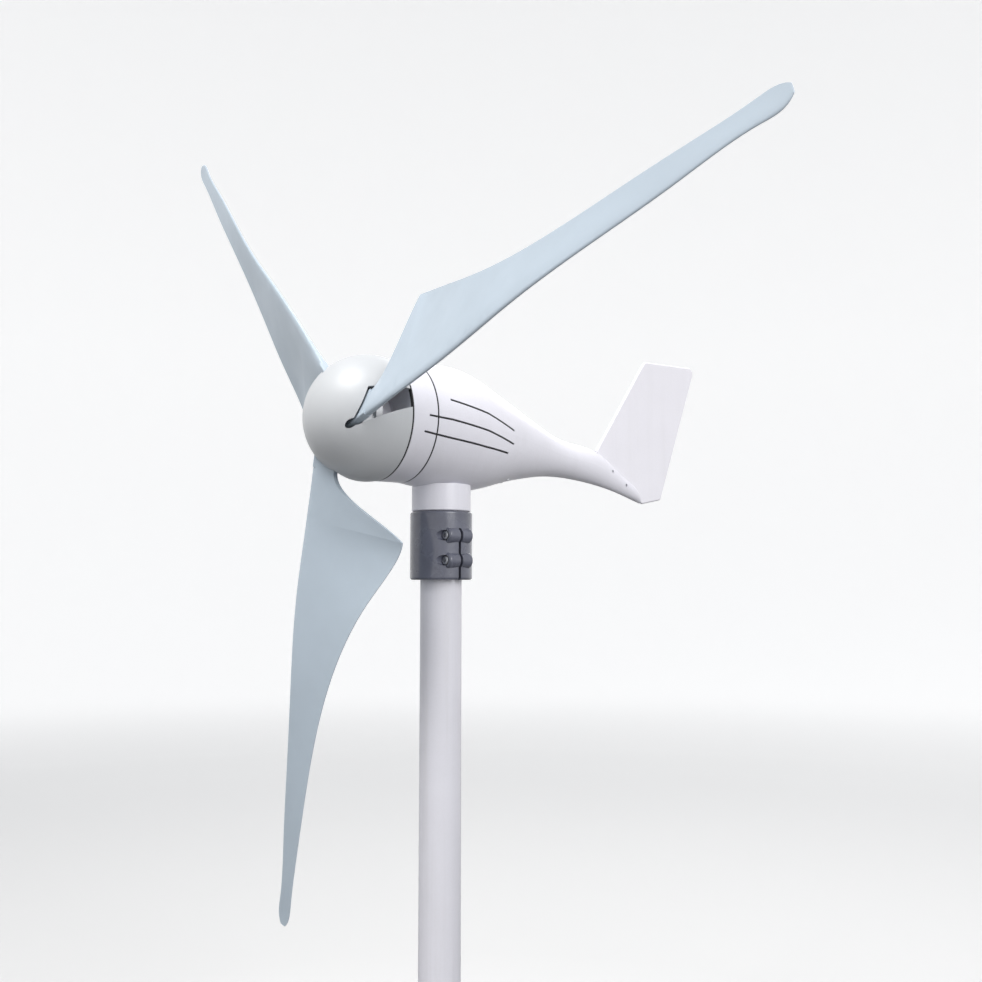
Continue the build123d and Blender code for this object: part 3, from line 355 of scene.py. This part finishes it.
finishes = {
    "mast_paint": mastPaint(),
    "collar_black": collarPaint(),
    "body_white": housingPaint(),
    "fin_white": finPaint(),
    "spinner_white": spinnerShell(),
    "blade_grey": bladeMoulding(),
    "screw_steel": metalFinish("zincPlate", (0.56, 0.57, 0.60), 0.30),
    "machined_steel": metalFinish("turnedSteel", (0.58, 0.58, 0.60), 0.26, ringAxis=1),
    "bearing_steel": metalFinish("groundSteel", (0.74, 0.74, 0.76), 0.12, spread=0.05),
    "ring_brass": metalFinish("turnedBrass", (0.80, 0.55, 0.24), 0.24, ringAxis=2),
    "magnet_nickel": metalFinish("nickelPlate", (0.68, 0.67, 0.65), 0.18, spread=0.06),
    "cast_aluminium": metalFinish("castAluminium", (0.62, 0.63, 0.65), 0.45, spread=0.15, lines=500.0),
    "lamination_steel": laminatedSteel(),
    "winding_copper": ringCoil(),
    "felt": darkFinish("darkFelt", (0.035, 0.035, 0.04), 0.92, grain=3000.0, bump=0.0003),
    "cage_plastic": darkFinish("mouldedNylon", (0.03, 0.03, 0.033), 0.5),
    "seal_rubber": darkFinish("blackRubber", (0.012, 0.012, 0.014), 0.62),
    "carbon": darkFinish("pressedCarbon", (0.03, 0.03, 0.032), 0.6, grain=2500.0),
    "lead_rubber": darkFinish("leadCover", (0.22, 0.02, 0.018), 0.45),
}

for row in frame["record"]["subparts"]:
    piece = nodes[row["node"]]
    piece.data.materials.clear()
    piece.data.materials.append(finishes[row["material_slot"]])
print("finishes placed", len(finishes))


# dark rubber strips laid in the body's side grooves: painted shade that darkens the grooves
grooveShadeLook = {
    "radius": 0.00098, "rounding": 2,
    "sink": 0.0002,  # how deep the strip lies in the groove's floor
    "step": 0.004, "minStep": 0.0005, "maxJump": 0.004,
    "far": 0.12,  # the rays start this far out to the side
}
# each run: distance behind the mast axis and height above the shaft axis
grooveShadeRuns = {
    "upper": ((-0.036, 0.0195), (0.018, 0.010), (0.067, -0.004)),
    "middle": ((-0.066, -0.001), (-0.036, -0.003), (0.018, -0.010), (0.067, -0.020)),
    "lower": ((-0.071, -0.019), (-0.032, -0.0235), (0.018, -0.0285), (0.058, -0.0315)),
}


def surfaceTree(names):
    mesh = bmesh.new()
    for name in names:
        mesh.from_mesh(nodes[name].data)
    tree = BVHTree.FromBMesh(mesh)
    mesh.free()
    return tree


def grooveShadePoints(run, side, skin):
    # walk along the run and drop each point onto the groove's floor
    points = []
    for start, end in zip(run, run[1:]):
        length = math.dist(start, end)
        count = max(2, round(length / grooveShadeLook["step"]))
        for step in range(count + 1):
            share = step / count
            y = start[0] + share * (end[0] - start[0])
            z = start[1] + share * (end[1] - start[1])
            hit = skin.ray_cast(Vector((side * grooveShadeLook["far"], y, hub.z + z)), Vector((-side, 0.0, 0.0)))[0]
            if hit is None:
                continue
            place = hit + Vector((side * (grooveShadeLook["radius"] - grooveShadeLook["sink"]), 0.0, 0.0))
            if points and (place - points[-1]).length < grooveShadeLook["minStep"]:
                continue
            if points and abs(place.x - points[-1].x) > grooveShadeLook["maxJump"]:
                continue
            points.append(place)
    return points


# lays the dark strips that paint the shade in the body's side grooves
def addGrooveShadeStrips(finish):
    skin = surfaceTree(("nacelle_housing", "front_cover"))
    for label, run in grooveShadeRuns.items():
        for side, sideName in ((1.0, "Right"), (-1.0, "Left")):
            data = bpy.data.curves.new(label + "Seam" + sideName, "CURVE")
            data.dimensions = "3D"
            data.bevel_depth = grooveShadeLook["radius"]
            data.bevel_resolution = grooveShadeLook["rounding"]
            data.use_fill_caps = True
            line = data.splines.new("POLY")
            points = grooveShadePoints(run, side, skin)
            line.points.add(len(points) - 1)
            for spot, place in zip(line.points, points):
                spot.co = (place.x, place.y, place.z, 1.0)
            data.materials.append(finish)
            piece = bpy.data.objects.new(data.name, data)
            bpy.context.scene.collection.objects.link(piece)
            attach(piece, "nacelle")


def ringPiece(name, section, body, finish, edge, steps):
    # section: corners as distance from the shaft's axis and place along it
    mesh = bmesh.new()
    corners = [mesh.verts.new((radius, along, hub.z)) for radius, along in section]
    face = mesh.faces.new(corners)
    rims = face.edges[:]
    bmesh.ops.delete(mesh, geom=[face], context="FACES_ONLY")
    bmesh.ops.spin(mesh, geom=rims + corners, cent=(0.0, 0.0, hub.z), axis=(0.0, 1.0, 0.0),
                   angle=2 * math.pi, steps=steps, use_merge=True)
    bmesh.ops.remove_doubles(mesh, verts=mesh.verts[:], dist=0.000001)
    bmesh.ops.recalc_face_normals(mesh, faces=mesh.faces[:])
    sharp = [item for item in mesh.edges if item.is_manifold and item.calc_face_angle() > math.radians(35)]
    bmesh.ops.bevel(mesh, geom=sharp, offset=edge, affect="EDGES", segments=2, profile=0.5, material=-1)
    data = bpy.data.meshes.new(name)
    mesh.to_mesh(data)
    mesh.free()
    for polygon in data.polygons:
        polygon.use_smooth = True
    data.materials.append(finish)
    piece = bpy.data.objects.new(name, data)
    bpy.context.scene.collection.objects.link(piece)
    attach(piece, body)


# a black lip that paints the shade of the gap between the spinner and the cover
gapShadeLipLook = {
    "outer": 0.0691, "inner": 0.0648,
    "gap": 0.0015,  # spinner's rim to the cover's face
    "proud": 0.0007, "sunk": 0.0008, "edge": 0.0002, "steps": 128,
}


def addGapShadeLip():  # black rubber lip on the cover's face, seen in the gap behind the spinner: it paints the shade in that gap as a dark line
    lip = gapShadeLipLook
    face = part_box("spinner")[1].y + lip["gap"]
    front, back = face - lip["proud"], face + lip["sunk"]
    section = ((lip["inner"], front), (lip["outer"], front), (lip["outer"], back), (lip["inner"], back))
    ringPiece("gapShadeLip", section, "nacelle", finishes["seal_rubber"], lip["edge"], lip["steps"])


stageLook = {
    "flat": 6.0, "curve": 3.0, "wall": 8.0, "curveSteps": 18, "turnSteps": 96,
    "floor": 0.69, "sides": 0.93,  # as the camera sees them
    "bounceFloor": 0.12, "bounceSides": 0.75,  # as the turbine is lit by them
    "glow": 0.29, "near": 1.2, "distant": 6.5,  # the glow grows between these two distances
    "mottle": 0.02, "mottleScale": 0.5, "roughness": 0.9,
}


def clearFromBelow(finish):  # the floor's back is clear, so the underside can be looked at
    tree = finish.tree
    clear = tree.nodes.new("ShaderNodeBsdfTransparent")
    both = tree.nodes.new("ShaderNodeMixShader")
    tree.links.new(tree.nodes.new("ShaderNodeNewGeometry").outputs["Backfacing"], both.inputs["Fac"])
    tree.links.new(finish.shader.outputs["BSDF"], both.inputs[1])
    tree.links.new(clear.outputs["BSDF"], both.inputs[2])
    tree.links.new(both.outputs["Shader"], tree.nodes["Material Output"].inputs["Surface"])


def buildStage():
    # a seamless round bowl: flat floor, curved rim and a low wall, spun about the mast
    mesh = bmesh.new()
    curve, flat = stageLook["curve"], stageLook["flat"]
    centre = mesh.verts.new((0.0, 0.0, 0.0))
    out = bmesh.ops.extrude_vert_indiv(mesh, verts=[centre])
    tip = out["verts"][0]
    bmesh.ops.translate(mesh, verts=[tip], vec=(flat, 0.0, 0.0))
    rise = bmesh.ops.spin(mesh, geom=[tip], cent=(flat, 0.0, curve), axis=(0.0, -1.0, 0.0), angle=math.pi / 2,
                          steps=stageLook["curveSteps"])["geom_last"]
    top = [item for item in rise if isinstance(item, bmesh.types.BMVert)][0]
    wall = bmesh.ops.extrude_vert_indiv(mesh, verts=[top])["verts"][0]
    bmesh.ops.translate(mesh, verts=[wall], vec=(0.0, 0.0, stageLook["wall"]))
    bmesh.ops.spin(mesh, geom=mesh.verts[:] + mesh.edges[:], cent=(0.0, 0.0, 0.0), axis=(0.0, 0.0, 1.0),
                   angle=2 * math.pi, steps=stageLook["turnSteps"], use_merge=True)
    bmesh.ops.remove_doubles(mesh, verts=mesh.verts[:], dist=0.0001)
    mesh.normal_update()
    inside = Vector((0.0, 0.0, curve))
    outward = [face for face in mesh.faces if face.normal.dot(inside - face.calc_center_median()) < 0.0]
    bmesh.ops.reverse_faces(mesh, faces=outward)
    data = bpy.data.meshes.new("stageBowl")
    mesh.to_mesh(data)
    mesh.free()
    for face in data.polygons:
        face.use_smooth = True
    stage = bpy.data.objects.new("stageBowl", data)
    bpy.context.scene.collection.objects.link(stage)
    finish = Finish("paleStage", stageLook["roughness"])
    reach = finish.tree.nodes.new("ShaderNodeVectorMath")
    reach.operation = "LENGTH"
    finish.tree.links.new(finish.place, reach.inputs[0])
    lit = addRange(finish.tree, reach.outputs["Value"], stageLook["near"], stageLook["distant"])
    patches = finish.effect("clouds", Scale=stageLook["mottleScale"]).outputs["Clouds"]
    mottle = addMath(finish.tree, "MULTIPLY", patches, stageLook["mottle"])
    finish.feed("Emission Color", addMix(finish.tree, lit, shade(neutral, 0.0), shade(neutral, 1.0)))
    finish.shader.inputs["Emission Strength"].default_value = stageLook["glow"]
    share = addMath(finish.tree, "ADD", lit, mottle)
    tones = [addMix(finish.tree, share, shade(neutral, stageLook[low]), shade(neutral, stageLook[high]))
             for low, high in (("bounceFloor", "bounceSides"), ("floor", "sides"))]
    # pale to look at, but it throws little light back up at the undersides
    seen = finish.tree.nodes.new("ShaderNodeLightPath").outputs["Is Camera Ray"]
    finish.feed("Base Color", addMix(finish.tree, seen, tones[0], tones[1]))
    clearFromBelow(finish)
    data.materials.append(finish.material)


lightLook = {
    "keyAbove": {"place": (0.2, -1.9, 4.3), "aim": (0.0, 0.0, 1.05), "size": (2.2, 2.2), "power": 34.0,
                 "spread": 80.0, "colour": (1.0, 0.99, 0.97)},
    "sideFill": {"place": (3.3, 0.1, 2.3), "aim": (0.0, 0.1, 0.9), "size": (2.0, 2.4), "power": 64.0,
                 "spread": 180.0, "colour": neutral},
    "rimBehind": {"place": (-1.8, 3.0, 3.4), "aim": (0.0, 0.0, 1.0), "size": (2.0, 2.0), "power": 8.0,
                  "spread": 90.0, "colour": neutral},
}


def addLights():
    for name, look in lightLook.items():
        data = bpy.data.lights.new(name, "AREA")
        data.shape = "RECTANGLE"
        data.size, data.size_y = look["size"]
        data.energy = look["power"]
        data.spread = math.radians(look["spread"])
        data.color = look["colour"]
        light = bpy.data.objects.new(name, data)
        light.location = look["place"]
        way = Vector(look["aim"]) - light.location
        light.rotation_euler = way.to_track_quat("-Z", "Y").to_euler()
        bpy.context.scene.collection.objects.link(light)


skyLook = {"low": 0.35, "high": 1.0, "rise": 0.2, "strength": 0.60, "colour": (0.94, 0.96, 1.0)}


def addWorld():
    # a soft sky that brightens towards the top
    world = bpy.data.worlds.new("softRoom")
    world.use_nodes = True
    tree = world.node_tree
    shader = tree.nodes["Background"]
    shader.inputs["Strength"].default_value = skyLook["strength"]
    parts = tree.nodes.new("ShaderNodeSeparateXYZ")
    tree.links.new(tree.nodes.new("ShaderNodeTexCoord").outputs["Generated"], parts.inputs[0])
    lift = addRange(tree, parts.outputs["Z"], skyLook["rise"], 1.0)
    low, high = [shade(skyLook["colour"], skyLook[label]) for label in ("low", "high")]
    tree.links.new(addMix(tree, lift, low, high), shader.inputs["Color"])
    bpy.context.scene.world = world


cameraLook = {
    "place": (1.004, -0.7385, 0.815), "azimuth": 50.98, "elevation": -5.01,
    "lens": 39.0, "sensor": 36.0, "reach": 60.0,
}


def addCamera():
    data = bpy.data.cameras.new("view")
    data.lens = cameraLook["lens"]
    data.sensor_width = cameraLook["sensor"]
    data.clip_end = cameraLook["reach"]
    camera = bpy.data.objects.new("view", data)
    turn, lift = math.radians(cameraLook["azimuth"]), math.radians(cameraLook["elevation"])
    camera.location = cameraLook["place"]
    back = Vector((math.sin(turn) * math.cos(lift), -math.cos(turn) * math.cos(lift), math.sin(lift)))
    camera.rotation_euler = back.to_track_quat("Z", "Y").to_euler()
    bpy.context.scene.collection.objects.link(camera)
    bpy.context.scene.camera = camera


# dark strips in the side grooves: painted groove shade
addGrooveShadeStrips(finishes["seal_rubber"])
# black lip behind the spinner: painted shade in the gap
addGapShadeLip()
print("grooveShades and nose lip made")
buildStage()
addWorld()
addCamera()
addLights()
bpy.context.scene.view_settings.view_transform = "Standard"
print("stage, lights and camera ready")
